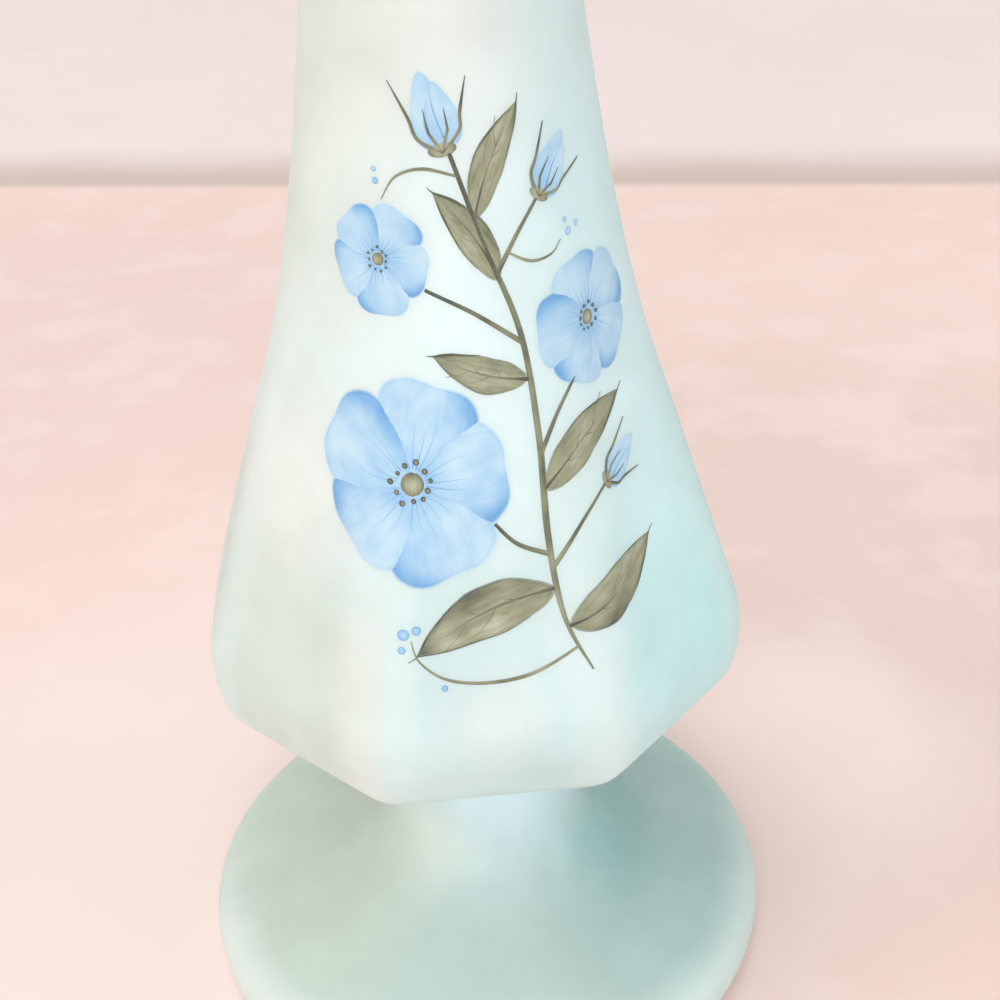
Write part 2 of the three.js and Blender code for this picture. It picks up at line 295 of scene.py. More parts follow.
def addSpecks(tree, place, colour):
    specks = satinGlass["specks"]
    cells = addNode(tree, "ShaderNodeTexVoronoi", place, feature="F1", Scale=specks["scale"])
    chosen = addNode(tree, "ShaderNodeSeparateColor", cells.outputs["Color"]).outputs[0]
    rare = mathNode(tree, "GREATER_THAN", chosen, specks["rarity"])
    dot = rangeNode(tree, cells.outputs["Distance"], *specks["size"], 0, specks["share"])
    return mixColour(tree, mathNode(tree, "MULTIPLY", rare, dot), colour, specks["colour"])


def makeSatinGlass():
    material, tree, shader, place = newMaterial("satinGlass")
    # a painted highlight whitens the arrises
    highlightColour, highlightShare = satinGlass["arrisHighlight"]
    arrisHighlight = mathNode(tree, "MULTIPLY", painted(tree, "arris"), highlightShare)
    colour = mixColour(tree, arrisHighlight, glassColour(tree, place), highlightColour)
    skin = [(noiseNode(tree, place, *noise), *relief) for noise, *relief in satinGlass["skin"]]
    mottle = skin[1][0]
    linkSurface(tree, shader, addSpecks(tree, place, colour), mottle, satinGlass["roughness"], skin)
    setUp(shader, satinGlass["sockets"])
    return material


# the glass pieces have the frame's own outlines, in mm, with finer facets
stemOutline = [(12.9, 20), (12.15, 24), (11.8, 29), (11.85, 36), (12.2, 41)]

# body: panels below, round above
bodyShape = dict(
    panels=8,
    facets=160,
    sideHeights=[57, 68, 79, 90, 105, 120, 140, 160, 176, 188, 197.5],
    sideRadii=[31.1, 27.65, 24.2, 20.75, 17.35, 14.85, 12.2, 11, 11.7, 14.9, 20.8],
    # underside and upturned edge: steps, bend and end of each curve
    lowerCurves=((12, (21, 41.6), (27.1, 44.1)), (10, (29.7, 44.6), (30.7, 47))),
    band=((31.7, 50.6), 5),
    shoulderBend=(32.2, 53.8),
    shoulderSteps=12,
    sideSteps=110,
    edgeExponent=55,  # the corners of the underside are the crispest
    edgeFade=(45.5, 52),
    crispExponent=24,
    roundExponent=6,
    crispFrom=27,  # inside this radius the corners of the underside melt away
    panelFade=(52, 112),
    arrisWidth=0.22,  # share of a panel that the painted highlight on its arrises takes up
    lipRadius=1.3,
    lipSteps=10,
    crimpLift=1.2,
    crimpDepth=1.3,
    crimpStart=178,
    wallAtShoulder=3.6,
    innerSteps=70,
    innerFloor=48,
    innerFloorRadius=21,
    innerFloorBend=(0.6, 1.2),  # from the end of the inner side, and from the floor
    innerFloorSteps=12,
    innerFloorFade=5,
    innerFloorDip=0.8,
)


def smoothStep(value, low, high):
    share = min(max((value - low) / (high - low), 0), 1)
    return share * share * (3 - 2 * share)


def shares(steps):
    return [step / steps for step in range(1, steps + 1)]


def fullTurn(count):
    return [2 * math.pi * i / count for i in range(count)]


def blendValue(first, second, share):
    return first + (second - first) * share


def sideRadius(height):
    # cubic through the outline's points, with the slope at each taken from its neighbours
    heights, radii = bodyShape["sideHeights"], bodyShape["sideRadii"]
    last = len(heights) - 1
    step = next((i for i in range(last) if height <= heights[i + 1]), last - 1)

    def slope(i):
        low, high = max(i - 1, 0), min(i + 1, last)
        return (radii[high] - radii[low]) / (heights[high] - heights[low])

    low, high = heights[step], heights[step + 1]
    span = high - low
    t = (height - low) / span
    square, cube = t * t, t * t * t
    return ((2 * cube - 3 * square + 1) * radii[step] + (cube - 2 * square + t) * span * slope(step)
            + (3 * square - 2 * cube) * radii[step + 1] + (cube - square) * span * slope(step + 1))


mouthHeight = bodyShape["sideHeights"][-1]


def wallThickness(height):
    share = smoothStep(height, bodyShape["sideHeights"][0], mouthHeight)
    return blendValue(bodyShape["wallAtShoulder"], 2 * bodyShape["lipRadius"], share)


def panelExponent(height):
    fade = smoothStep(height, *bodyShape["panelFade"])
    return blendValue(bodyShape["crispExponent"], bodyShape["roundExponent"], fade)


def panelSum(angle, exponent):
    turn = 2 * math.pi / bodyShape["panels"]
    return sum(max(math.cos(angle - panel * turn), 0) ** exponent for panel in range(bodyShape["panels"]))


def cornerShare(angle, exponent):
    return (panelSum(0, exponent) / panelSum(angle, exponent)) ** (1 / exponent)


def bodyPoint(angle, radius, height, exponent):
    crimp = smoothStep(height, bodyShape["crimpStart"], mouthHeight) * math.cos(bodyShape["panels"] * angle)
    reach = radius * cornerShare(angle, exponent) + bodyShape["crimpDepth"] * crimp
    height -= bodyShape["crimpLift"] * crimp
    return Vector((reach * math.sin(angle), -reach * math.cos(angle), height))


def curve(steps, *points):
    # from its first point, which is left out, to its last, bent by one or two between them
    line = []
    for t in shares(steps):
        rest = 1 - t
        weights = (rest ** 2, 2 * t * rest, t * t)
        if len(points) == 4:
            weights = (rest ** 3, 3 * t * rest ** 2, 3 * t * t * rest, t ** 3)
        line.append(tuple(sum(weight * value for weight, value in zip(weights, values))
                          for values in zip(*points)))
    return line


def straight(start, end, steps):
    return [tuple(blendValue(a, b, share) for a, b in zip(start, end)) for share in shares(steps)]


def loftObject(name, rings, firstHeight, lastHeight, sharpRings, attributes={}):
    # rings of points in mm, from one height on the axis to another
    mesh = bmesh.new()
    layers = {key: mesh.verts.layers.float.new(key) for key in attributes}
    first = mesh.verts.new(Vector((0, 0, firstHeight)) * mm)
    rows = [[mesh.verts.new(point * mm) for point in ring] for ring in rings]
    last = mesh.verts.new(Vector((0, 0, lastHeight)) * mm)
    count = len(rings[0])
    for i in range(count):
        j = (i + 1) % count
        mesh.faces.new((first, rows[0][j], rows[0][i]))
        mesh.faces.new((last, rows[-1][i], rows[-1][j]))
        for low, high in zip(rows, rows[1:]):
            mesh.faces.new((low[i], low[j], high[j], high[i]))
    for ring in sharpRings:
        for i in range(count):
            edge = mesh.edges.get((rows[ring][i], rows[ring][(i + 1) % count]))
            edge.smooth = False
    for key, layer in layers.items():
        for row, line in zip(rows, attributes[key]):
            for vertex, value in zip(row, line):
                vertex[layer] = value
    return finishMesh(name, mesh)


def finishMesh(name, mesh):
    bmesh.ops.recalc_face_normals(mesh, faces=mesh.faces)
    for face in mesh.faces:
        face.smooth = True
    data = bpy.data.meshes.new(name)
    mesh.to_mesh(data)
    mesh.free()
    return newObject(name, data)


def lowerStations():
    shape = bodyShape
    start = shape["sideHeights"][0]
    stemHead = stemOutline[-1][0]
    line = [(stemHead, bodyFoot / mm)]
    for steps, *points in shape["lowerCurves"]:
        line += curve(steps, line[-1], *points)
    line += straight(line[-1], *shape["band"])
    line += curve(shape["shoulderSteps"], line[-1], shape["shoulderBend"], (sideRadius(start), start))
    stations = []
    for radius, height in line:
        edge = smoothStep(height, *shape["edgeFade"])
        crisp = blendValue(shape["edgeExponent"], panelExponent(height), edge)
        share = smoothStep(radius, stemHead, shape["crispFrom"])
        stations.append((radius, height, blendValue(shape["roundExponent"], crisp, share)))
    return stations


def innerStations():
    shape = bodyShape

    def innerExponent(height):
        return (panelExponent(height) + shape["roundExponent"]) / 2

    stations = []
    for share in shares(shape["innerSteps"]):
        height = blendValue(mouthHeight, shape["sideHeights"][0], share)
        stations.append((sideRadius(height) - wallThickness(height), height, innerExponent(height)))
    start = stations[-1][:2]
    floorEnd = (shape["innerFloorRadius"], shape["innerFloor"])
    bend = (start[0] + shape["innerFloorBend"][0], floorEnd[1] + shape["innerFloorBend"][1])
    for radius, height in curve(shape["innerFloorSteps"], start, bend, floorEnd):
        share = smoothStep(radius, floorEnd[0], floorEnd[0] + shape["innerFloorFade"])
        stations.append((radius, height, blendValue(shape["roundExponent"], innerExponent(height), share)))
    return stations


def bodyStations():
    # radius, height and corner exponent of each ring, from the stem over the lip to the floor inside
    shape = bodyShape
    stations = lowerStations()
    for share in shares(shape["sideSteps"]):
        height = blendValue(shape["sideHeights"][0], mouthHeight, share)
        stations.append((sideRadius(height), height, panelExponent(height)))
    lip = shape["lipRadius"]
    for share in shares(shape["lipSteps"]):
        angle = math.pi * share
        radius = sideRadius(mouthHeight) - lip + lip * math.cos(angle)
        stations.append((radius, mouthHeight + lip * math.sin(angle), shape["roundExponent"]))
    return stations + innerStations()


def makeBody():
    shape = bodyShape
    angles = fullTurn(shape["facets"])
    panelTurn = shape["panels"] / 2
    width = shape["arrisWidth"]
    arrisAt = [max(0, abs(math.sin(panelTurn * angle)) - 1 + width) / width for angle in angles]
    rings, arris = [], []
    for radius, height, exponent in bodyStations():
        rings.append([bodyPoint(angle, radius, height, exponent) for angle in angles])
        crisp = (exponent - shape["roundExponent"]) / (shape["crispExponent"] - shape["roundExponent"])
        arris.append([min(crisp, 1) * near for near in arrisAt])
    floor = shape["innerFloor"] - shape["innerFloorDip"]
    return loftObject("vaseBody", rings, rings[0][0].z, floor, [0], {"arris": arris})


def smoothThrough(points, stepsEach):
    result = [points[0]]
    for i in range(len(points) - 1):
        before = points[max(i - 1, 0)]
        start, end = points[i], points[i + 1]
        after = points[min(i + 2, len(points) - 1)]
        for t in shares(stepsEach):
            result.append(tuple(0.5 * (2 * b + (c - a) * t + (2 * a - 5 * b + 4 * c - d) * t * t
                                       + (3 * b - a - 3 * c + d) * t ** 3)
                                for a, b, c, d in zip(before, start, end, after)))
    return result


# from the axis under the foot up to the stem, with the bends of each curve
footShape = dict(
    facets=160,
    hollow=8,
    hollowBends=((14, 8), (27, 5.4)),
    hollowSteps=24,
    ringInner=31,
    ringOuter=34.6,
    ringSteps=3,
    rimHeight=4,
    rimBends=(0.2, 7.3),  # heights, below and above the rim's widest place
    rimTop=(34.6, 8.2),
    rimSteps=10,
    domeBends=((30, 9.5), (24.4, 10.9)),
    domeTop=(20.5, 12.7),
    flareBends=((17.3, 14.2), (13.7, 17.2)),
    domeSteps=18,
    stemSteps=8,
    inset=0.01,  # keeps the finer rim inside the frame's box
)


def makeFoot():
    shape = footShape
    reach = footReach / mm - shape["inset"]
    ringInner = (shape["ringInner"], 0)
    outline = curve(shape["hollowSteps"], (0, shape["hollow"]), *shape["hollowBends"], ringInner)
    sharp = [len(outline) - 1]
    outline += straight(outline[-1], (shape["ringOuter"], 0), shape["ringSteps"])
    sharp.append(len(outline) - 1)
    lowBend, highBend = shape["rimBends"]
    outline += curve(shape["rimSteps"], outline[-1], (reach, lowBend), (reach, shape["rimHeight"]))
    outline += curve(shape["rimSteps"], outline[-1], (reach, highBend), shape["rimTop"])
    outline += curve(shape["domeSteps"], outline[-1], *shape["domeBends"], shape["domeTop"])
    outline += curve(shape["domeSteps"], outline[-1], *shape["flareBends"], stemOutline[0])
    outline += smoothThrough(stemOutline, shape["stemSteps"])[1:]
    sharp.append(len(outline) - 1)
    directions = [(math.sin(angle), -math.cos(angle)) for angle in fullTurn(shape["facets"])]
    rings = [[Vector((radius * x, radius * y, height)) for x, y in directions] for radius, height in outline]
    return loftObject("vaseFoot", rings, outline[0][1], outline[-1][1], sharp)


def standFor(piece, material, slot, *nodes):
    piece.data.materials.append(material)
    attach(piece, "root")
    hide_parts(*nodes)


glass = makeSatinGlass()
standFor(makeBody(), glass, "satin_glass", "body", "neck")
standFor(makeFoot(), glass, "satin_glass", "foot", "stem")
print("glass made")


# enamel: washes of fired paint, each a thin closed patch laid on the front of the body
# places and sizes are mm across the front and mm up from the table
enamel = dict(
    lift=0.05,  # thickness of a wash
    step=0.014,  # each later wash lies this much higher
    sunk=0.04,  # the underside goes this far into the glass
    seed=7,
    seedSpread=90,
    # rings of a wash from its middle to its edge, and where its surface begins and ends to slope down
    washRings=(0.2, 0.4, 0.55, 0.67, 0.77, 0.85, 0.91, 0.95, 0.98, 1),
    washSlope=(0.7, 1.08),
    # points across a line of paint, and how much of the edge's look it has at its sides
    lineSides=(-1, -0.7, -0.3, 0, 0.3, 0.7, 1),
    lineRim=0.9,
    dotCorners=12,
    dotTurn=0.524,  # from one corner of a dot to the next
    dotTone=(-0.2, 0.4, 0.2, 0.9),  # paler in its middle: change there, rise, and where it rises
    berryTone=(0.3, 0.8),
    berryLift=0.03,
)
brush = random.Random(enamel["seed"])


def onBody(across, height, lift):
    def surface(angle, height):
        return bodyPoint(angle, sideRadius(height), height, panelExponent(height))

    angle = across / sideRadius(height)
    turn, rise = 0.01, 0.2  # small steps that give the slope of the glass
    point = surface(angle, height)
    east = surface(angle + turn, height) - surface(angle - turn, height)
    normal = east.cross(surface(angle, height + rise) - point).normalized()
    return point + normal * lift


def newPaint():
    mesh = bmesh.new()
    return dict(
        mesh=mesh,
        stroke=mesh.verts.layers.float_vector.new("stroke"),  # mm across and along the brush, and a seed
        rim=mesh.verts.layers.float.new("rim"),  # 0 in the middle of a wash, 1 at its edge
        tone=mesh.verts.layers.float.new("tone"),  # 0 thin and pale, 1 thick and deep
    )


def paintVertex(paint, across, height, lift, stroke, rim, tone):
    vertex = paint["mesh"].verts.new(onBody(across, height, lift) * mm)
    vertex[paint["stroke"]] = stroke
    vertex[paint["rim"]] = rim
    vertex[paint["tone"]] = tone
    return vertex


def sharpen(paint, first, second):
    # keeps the buried side of the paint from shading its edge
    paint["mesh"].edges.get((first, second)).smooth = False


def layWash(paint, outline, centre, base, tip, width, toneAt, lift):
    # outline is a closed line seen whole from centre; base and tip give the brush's direction
    seed = brush.random() * enamel["seedSpread"]
    axis = Vector((tip[0] - base[0], tip[1] - base[1]))
    length = axis.length
    axis /= length
    aside = Vector((axis.y, -axis.x))

    def corner(x, z, share, height):
        offset = Vector((x - base[0], z - base[1]))
        along, side = offset.dot(axis), offset.dot(aside)
        tone = toneAt(along / length, 2 * side / width, share)
        return paintVertex(paint, x, z, height, Vector((side, along, seed)), share, tone)

    def ring(share, height):
        return [corner(blendValue(centre[0], x, share), blendValue(centre[1], z, share), share, height)
                for x, z in outline]

    tops = [ring(share, lift * (1 - smoothStep(share, *enamel["washSlope"])))
            for share in enamel["washRings"]]
    bottoms = [ring(share, -enamel["sunk"]) for share in reversed(enamel["washRings"])]
    faces = paint["mesh"].faces
    rings = tops + bottoms
    top = corner(*centre, 0, lift)
    under = corner(*centre, 0, -enamel["sunk"])
    count = len(outline)
    for i in range(count):
        j = (i + 1) % count
        faces.new((top, rings[0][i], rings[0][j]))
        faces.new((under, rings[-1][j], rings[-1][i]))
        for first, second in zip(rings, rings[1:]):
            faces.new((first[i], second[i], second[j], first[j]))
        sharpen(paint, tops[-1][i], tops[-1][j])


def layLine(paint, path, stroke, lift, width=1):
    # a thin line of paint along a path; a stroke is widths and tones from its start to its end,
    # its height over the wash, and the steps from one point of the path to the next
    widths, tones, rise, steps = stroke
    seed = brush.random() * enamel["seedSpread"]
    line = smoothThrough(path, steps)
    lengths = [0]
    for first, second in zip(line, line[1:]):
        lengths.append(lengths[-1] + math.dist(first, second))
    total = lengths[-1]

    def along(values, share):
        place = share * (len(values) - 1)
        index = min(int(place), len(values) - 2)
        return blendValue(values[index], values[index + 1], place - index)

    sides = enamel["lineSides"]
    rings = []
    for index, point in enumerate(line):
        before, after = line[max(index - 1, 0)], line[min(index + 1, len(line) - 1)]
        heading = Vector((after[0] - before[0], after[1] - before[1])).normalized()
        aside = Vector((heading.y, -heading.x))
        share = lengths[index] / total
        half = along(widths, share) * width / 2
        tone = along(tones, share)
        ring = []
        for side in sides + tuple(reversed(sides)):
            upper = len(ring) < len(sides)
            height = (lift + rise) * (1 - side * side) if upper else -enamel["sunk"]
            x, z = point[0] + aside.x * half * side, point[1] + aside.y * half * side
            ring.append(paintVertex(paint, x, z, height, Vector((half * side, lengths[index], seed)),
                                    abs(side) * enamel["lineRim"], tone))
        rings.append(ring)
    faces = paint["mesh"].faces
    count = len(rings[0])
    for first, second in zip(rings, rings[1:]):
        for i in range(count):
            j = (i + 1) % count
            faces.new((first[i], first[j], second[j], second[i]))
        for i in (0, len(sides) - 1):
            sharpen(paint, first[i], second[i])
    faces.new(list(reversed(rings[0])))
    faces.new(rings[-1])


def layDot(paint, place, radius, tone, lift):
    x, z = place
    change, rise, inner, outer = enamel["dotTone"]
    angles = [enamel["dotTurn"] * i for i in range(enamel["dotCorners"])]
    outline = [(x + radius * math.cos(angle), z + radius * math.sin(angle)) for angle in angles]
    layWash(paint, outline, place, (x, z - radius), (x, z + radius), 2 * radius,
            lambda along, side, share: tone + change + rise * smoothStep(share, inner, outer), lift)


def placed(base, direction, points):
    # points are (side, along) from base; direction is in radians from straight up
    cosine, sine = math.cos(direction), math.sin(direction)
    return [(base[0] + side * cosine + along * sine, base[1] - side * sine + along * cosine)
            for side, along in points]


petal = dict(
    points=44,
    length=(0.94, 1.02),  # of the blossom's reach, as is the width
    width=(1.02, 1.12),
    sway=0.06,  # turn to either side
    fullness=0.34,  # how much wider towards its tip
    widest=1.06,
    notch=0.05,
    notchWidth=0.3,
    ripples=((3, 0.014), (5, 0.01), (8, 0.008)),  # waves round the edge, and their depth
    middle=0.58,
    # fine veins: places from side to side, and how they spread and run up
    veins=(-0.5, -0.22, 0.05, 0.3, 0.55),
    veinSpread=(0.1, 0.279, 0.3844),
    veinStart=0.14,
    veinBend=0.6,
    veinReach=(0.4, 0.62),
    veinStroke=((0.26, 0.18, 0.05), (0.85, 0.7, 0.4), 0.016, 5),
    # tone where it is palest, and what its loaded side, its throat and its pooled edge add to it
    tones=(0.14, 0.22, 0.3, 0.55),
    loadedSide=(-0.3, 1),
    throatEnd=(0.05, 0.5),
    poolEdge=(0.5, 0.9),
    poolSide=(0, 0.7),
    poolStart=(0.1, 0.45),
)


def petalOutline(length, width):
    phases = [brush.uniform(0, 6.28) for _ in petal["ripples"]]
    outline = []
    for angle in fullTurn(petal["points"]):
        fullness = 1 - petal["fullness"] * math.cos(angle)
        side = 0.5 * width * math.sin(angle) * fullness / petal["widest"]
        along = 0.5 * length * (1 - math.cos(angle))
        along -= petal["notch"] * length * math.exp(-((angle - math.pi) / petal["notchWidth"]) ** 2)
        ripple = 1
        for (waves, depth), phase in zip(petal["ripples"], phases):
            ripple += depth * math.sin(waves * angle + phase)
        outline.append((side * ripple, length * 0.5 + (along - length * 0.5) * ripple))
    return outline


spray = dict(
    # place, reach, turn of the first petal, petals
    blossoms=dict(
        large_blossom=((-6.6, 82), 10.6, 0.25, 5),
        right_blossom=((13.4, 95.5), 7, -0.3, 5),
        upper_blossom=((-8.6, 103.5), 5.6, 0.6, 5),
    ),
    # loose dots at the ends of the tendrils, painted along with the blossom nearest to them
    berries=dict(
        large_blossom=[((-8.6, 66.9), 0.62), ((-7.3, 67.3), 0.5), ((-8.9, 65.3), 0.42), ((-4.9, 61.1), 0.36)],
        right_blossom=[((11.5, 104.4), 0.44), ((12.7, 104.9), 0.34), ((11.1, 105.6), 0.28)],
        upper_blossom=[((-8.3, 110.9), 0.36), ((-8.4, 112), 0.3)],
    ),
    # foot of the bud, length, width, turn
    buds=dict(
        top_bud=((-1.4, 113.8), 7.6, 4.4, -0.2),
        right_bud=((8, 108.6), 6.4, 3.8, 0.6),
        low_bud=((14.2, 79.2), 5.8, 3.4, 1.1),
    ),
)


def petalTone(dark):
    # the brush is loaded on one side, 1 or -1, and paint pools along that edge
    def tone(along, side, share):
        loaded = smoothStep(side * dark, *petal["loadedSide"])
        throat = 1 - smoothStep(along, *petal["throatEnd"])
        pool = smoothStep(share, *petal["poolEdge"]) * smoothStep(side * dark, *petal["poolSide"])
        pool *= smoothStep(along, *petal["poolStart"])
        return sum(weight * part for weight, part in zip(petal["tones"], (1, loaded, throat, pool)))
    return tone


def makeBlossom(name, place, reach, turn, petals):
    paint = newPaint()
    for index in range(petals):
        direction = turn + 2 * math.pi * index / petals + brush.uniform(-petal["sway"], petal["sway"])
        length = reach * brush.uniform(*petal["length"])
        width = reach * brush.uniform(*petal["width"])
        lift = enamel["lift"] + enamel["step"] * index
        outline = petalOutline(length, width)
        base, tip = placed(place, direction, [(0, 0), (0, length)])
        middle = placed(place, direction, [(0, petal["middle"] * length)])[0]
        layWash(paint, placed(place, direction, outline), middle, base, tip, width, petalTone(1), lift)
        for vein in petal["veins"]:
            far = length * brush.uniform(*petal["veinReach"])
            sides = [vein * width * spread for spread in petal["veinSpread"]]
            line = zip(sides, (petal["veinStart"] * length, petal["veinBend"] * far, far))
            layLine(paint, placed(place, direction, line), petal["veinStroke"], lift)
    for berry, radius in spray["berries"][name]:
        lift = enamel["lift"] + enamel["berryLift"]
        layDot(paint, berry, radius, brush.uniform(*enamel["berryTone"]), lift)
    finishPaint(paint, name, blueEnamel, "blue_enamel")


budLook = dict(
    points=36,
    # two petals: place to the side, share of the length, and which side of the brush is loaded
    petals=((-0.16, 1, 1), (0.22, 0.86, -1)),
    petalWidth=0.42,
    middle=0.4,
    taper=0.45,
    # the fold down its middle, as shares of width and length
    fold=((0.1, 0.15), (0.02, 0.5), (0.06, 0.8)),
    foldStroke=((0.4, 0.3, 0.08), (0.95, 0.8, 0.5), 0.04, 5),
    # sepals, in olive: side, reach and curl, and where they start, bulge and turn to that side
    sepals=((-1, 0.95, 0.25), (1, 0.8, 0.3), (-0.35, 0.55, 0), (0.4, 0.5, 0.05)),
    sepalStart=-0.02,
    sepalBulge=(0.46, 0.2),
    sepalTurn=(0.56, 0.5),
    sepalStroke=((0.5, 0.42, 0.3, 0.06), (0.8, 0.7, 0.85, 0.95), 0.07, 5),
    cupPoints=18,
    cupTurn=0.35,
    cupWidth=0.32,
    cupDepth=0.16,
    cupMiddle=0.02,
    cupLift=0.06,
)


def makeBud(name, place, length, width, turn):
    look = budLook
    paint = newPaint()
    for side, share, dark in look["petals"]:
        outline = []
        for angle in fullTurn(look["points"]):
            narrow = 1 + look["taper"] * math.cos(angle)
            outline.append((side * width * 0.5 + look["petalWidth"] * width * math.sin(angle) * narrow,
                            0.5 * length * share * (1 - math.cos(angle))))
        base, tip = placed(place, turn, [(0, 0), (0, length)])
        middle = placed(place, turn, [(side * width * 0.5, look["middle"] * length * share)])[0]
        lift = enamel["lift"] + (enamel["step"] if side > 0 else 0)
        layWash(paint, placed(place, turn, outline), middle, base, tip, width, petalTone(dark), lift)
    fold = placed(place, turn, [(side * width, along * length) for side, along in look["fold"]])
    layLine(paint, fold, look["foldStroke"], enamel["lift"])
    finishPaint(paint, name, blueEnamel, "blue_enamel")


def finishPaint(paint, node, material, slot):
    standFor(finishMesh(node + "Paint", paint["mesh"]), material, slot, node)


foliage = dict(
    mainStem=[(10.6, 61.5), (7.9, 67.5), (6.7, 76), (6.4, 86), (5.2, 96), (2, 105), (-1, 114.2)],
    mainStroke=((0.2, 0.62, 0.7, 0.66, 0.6, 0.5, 0.42), (0.45, 0.7, 0.75, 0.8, 0.8, 0.9, 0.95), 0.06, 8),
    stalks=[
        [(6.9, 74), (3.6, 75.4), (1.4, 77.6)],
        [(6.5, 84), (8.6, 87.6), (11, 90.4)],
        [(5.4, 95), (0.6, 98.4), (-4, 100.8)],
        [(3.2, 102), (5.4, 105.4), (7.9, 108.6)],
        [(7, 72.6), (10.6, 76.6), (14.2, 79.2)],
    ],
    stalkStroke=((0.54, 0.44, 0.36), (0.7, 0.85, 0.95), 0.05, 8),
    # path and greatest width
    tendrils=[
        ([(9.2, 64.2), (4.4, 61.9), (-0.4, 61.3), (-4.6, 62), (-7.2, 64), (-7.9, 66.2)], 0.42),
        ([(-0.1, 111.4), (-3.4, 112.2), (-6.2, 111.4), (-7.8, 109.2)], 0.34),
        ([(4.4, 103.8), (6.8, 102.6), (9.2, 102.8), (10.4, 103.9)], 0.32),
    ],
    tendrilStroke=((0.7, 1, 0.8, 0.3), (0.5, 0.65, 0.6, 0.5), 0.045, 8),
    # base, tip, width, bend to the side
    leaves=[
        ((8.3, 66.4), (20.4, 71.6), 5.2, 0.9),
        ((7.3, 70.6), (-7.4, 64.6), 5.4, 1.1),
        ((6.5, 80.4), (17.4, 87), 4.2, -0.8),
        ((5.8, 91.4), (-3.6, 94.4), 3.6, -0.5),
        ((3.4, 101.2), (-2.6, 110), 3.4, 0.6),
        ((1.2, 107.2), (6, 117.6), 3.2, -0.6),
    ],
)

leafLook = dict(
    points=23,  # along each side
    swell=(0.82, 0.85),  # below 1 it is widest towards its base, and blunter at its ends
    ragged=(0.03, 19),  # depth and closeness of the waves in its edge
    middle=0.45,
    midrib=(0, 0.25, 0.5, 0.78),
    midribStroke=((0.42, 0.34, 0.22, 0.08), (0.95, 0.9, 0.8, 0.7), 0.03, 5),
    # dark strokes through these points of its two edges; the right one runs on past the tip
    rightEdge=(12, 15, 18, 20, 22),
    rightStroke=((0.06, 0.2, 0.3, 0.26, 0.05), (0.7, 0.9, 1, 1, 0.9), 0.02, 4),
    pastTip=(-0.2, 1.07),
    leftEdge=(5, 9, 13, 18, 22),
    leftStroke=((0.05, 0.16, 0.2, 0.1), (0.7, 0.85, 0.9, 0.8), 0.02, 4),
    # veins: place along the midrib and side, and their points as shares of width and length
    veins=((0.28, 1), (0.4, -1), (0.52, 1), (0.62, -1)),
    veinPoints=((0, 0), (0.2, 0.1), (0.33, 0.22)),
    veinStroke=((0.2, 0.14, 0.04), (0.75, 0.65, 0.5), 0.024, 4),
    # tone where it is palest, and what its shaded half, its edges and its tip add to it
    tones=(0.36, 0.16, 0.2, 0.16),
    edges=(0.5, 1.1),
    tip=(0.75, 1),
)

# the middles of the blossoms, in olive
stamens = dict(
    disc=0.12,  # of the blossom's reach
    discTone=0.5,
    discLift=0.1,
    dots=11,
    dotsOut=(1.25, 1.75),  # of the disc's radius
    dotSize=0.028,
    dotSpread=(0.8, 1.25),
    dotTone=0.9,
    dotLift=0.12,
)


def leafTone(along, side, share):
    parts = (1, side > 0, smoothStep(abs(side), *leafLook["edges"]), smoothStep(along, *leafLook["tip"]))
    return sum(weight * part for weight, part in zip(leafLook["tones"], parts))


def layLeaf(paint, base, tip, width, bend, lift):
    look = leafLook
    length = math.dist(base, tip)
    turn = math.atan2(tip[0] - base[0], tip[1] - base[1])
    end = look["points"] - 1
    lowSwell, blunt = look["swell"]
    depth, closeness = look["ragged"]

    def spine(share):
        return bend * math.sin(math.pi * share)

    def line(points, stroke):
        layLine(paint, placed(base, turn, points), look[stroke], lift)

    right, left = [], []
    for i in range(end + 1):
        share = i / end
        half = 0.5 * width * math.sin(math.pi * share ** lowSwell) ** blunt if 0 < i < end else 0
        ragged = 1 + depth * math.sin(closeness * share + length)
        right.append((spine(share) + half * ragged, share * length))
        left.append((spine(share) - half * (2 - ragged), share * length))
    outline = placed(base, turn, right + list(reversed(left[1:-1])))
    middle = placed(base, turn, [(spine(look["middle"]), look["middle"] * length)])[0]
    layWash(paint, outline, middle, base, tip, width, leafTone, lift)
    line([(spine(share), share * length) for share in look["midrib"]], "midribStroke")
    tipSide, tipReach = look["pastTip"]
    line([right[i] for i in look["rightEdge"]] + [(spine(1) + tipSide, length * tipReach)], "rightStroke")
    line([left[i] for i in look["leftEdge"]], "leftStroke")
    for share, side in look["veins"]:
        line([(spine(share) + side * across * width, (share + along) * length)
              for across, along in look["veinPoints"]], "veinStroke")


def layCalyx(paint, place, length, width, turn):
    # the sepals of a bud, and the cup that they grow from
    look, lift = budLook, enamel["lift"]
    bulge, rise = look["sepalBulge"]
    aside, half = look["sepalTurn"]
    for side, far, curl in look["sepals"]:
        sepal = [(0, look["sepalStart"] * length), (side * bulge * width, rise * length),
                 (side * aside * width, half * far * length), (side * (aside + curl) * width, far * length)]
        layLine(paint, placed(place, turn, sepal), look["sepalStroke"], lift)
    cup = []
    for i in range(look["cupPoints"]):
        angle = look["cupTurn"] * i
        cup.append((look["cupWidth"] * width * math.sin(angle),
                    look["cupMiddle"] * length - look["cupDepth"] * width * math.cos(angle)))
    middle, ahead = placed(place, turn, [(0, look["cupMiddle"] * length), (0, 2)])
    lift += look["cupLift"]
    layWash(paint, placed(place, turn, cup), middle, place, ahead, 0.6 * width, leafTone, lift)


